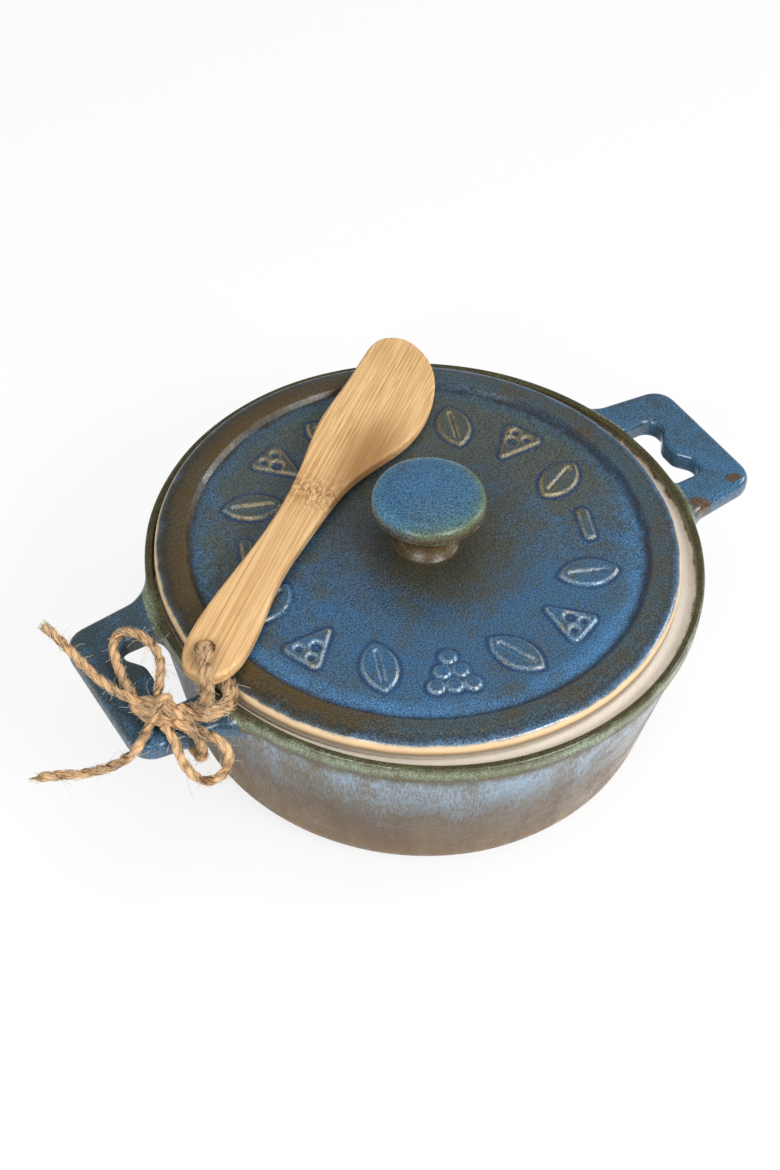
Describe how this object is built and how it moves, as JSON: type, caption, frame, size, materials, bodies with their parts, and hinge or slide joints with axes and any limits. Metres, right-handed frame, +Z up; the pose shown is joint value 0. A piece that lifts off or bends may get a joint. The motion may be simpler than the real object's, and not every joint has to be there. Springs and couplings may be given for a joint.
{
  "type": "camembert baker",
  "caption": "Round lidded stoneware dish for baking a soft cheese, with pierced ears, a knob on the lid and a wooden spreader tied on with twine.",
  "frame": {"origin": "centre of the dish's base, on the surface that it stands on", "axes": "+Z up; +X along the line through the two ears; +Y across them, away from the side where the twine's bow hangs"},
  "size_m": [0.2104, 0.1444, 0.0722],
  "materials": {
    "glazed_stoneware": "mottled blue and brown reactive glaze, satin",
    "bamboo": "sanded bamboo with fine long grain, unvarnished",
    "jute": "two-ply twisted jute twine with loose fibres"
  },
  "bodies": {
    "root": {"dish": "glazed_stoneware", "lid": "glazed_stoneware", "spreader": "bamboo", "twine_knot": "jute", "twine_tether": "jute", "twine_hitch": "jute", "twine_loop_upper": "jute", "twine_loop_lower": "jute", "twine_end_upper": "jute", "twine_end_lower": "jute"}
  },
  "joints": []
}
